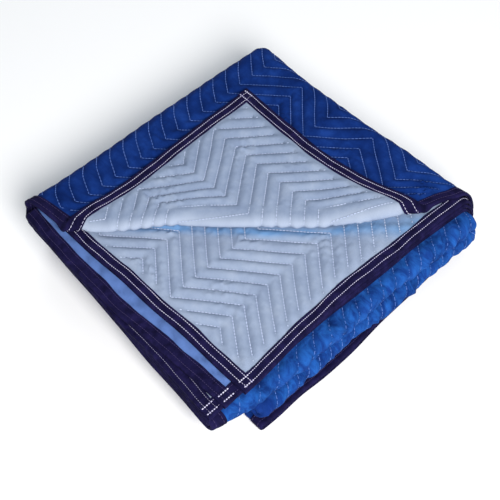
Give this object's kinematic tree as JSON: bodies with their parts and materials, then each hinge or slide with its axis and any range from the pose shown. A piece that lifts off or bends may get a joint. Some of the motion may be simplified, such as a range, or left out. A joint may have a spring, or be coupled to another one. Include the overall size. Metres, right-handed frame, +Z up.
{
  "type": "folded moving blanket",
  "caption": "Quilted moving blanket folded into a flat square packet, with bound edges and its top front corner turned back on the diagonal.",
  "frame": {"origin": "centre of the packet's bounding box, on the surface it rests on", "axes": "+Z up through the stack of layers; the bound ends of the top layers face -Y, the bound sides and the two rolled folds face +X, the large fold lies at +Y and the twin folds at -X"},
  "size_m": [0.4857, 0.5293, 0.1284],
  "materials": {
    "royal_blue_cloth": "matt woven polyester, zigzag quilted",
    "light_blue_cloth": "matt woven polyester, zigzag quilted",
    "navy_tape": "ribbed woven binding tape with two rows of white lockstitch"
  },
  "bodies": {
    "root": {"face_panel": "royal_blue_cloth", "reverse_panel": "light_blue_cloth", "binding_side_1": "navy_tape", "binding_side_2": "navy_tape", "binding_end_1": "navy_tape", "binding_end_2": "navy_tape"}
  },
  "joints": []
}
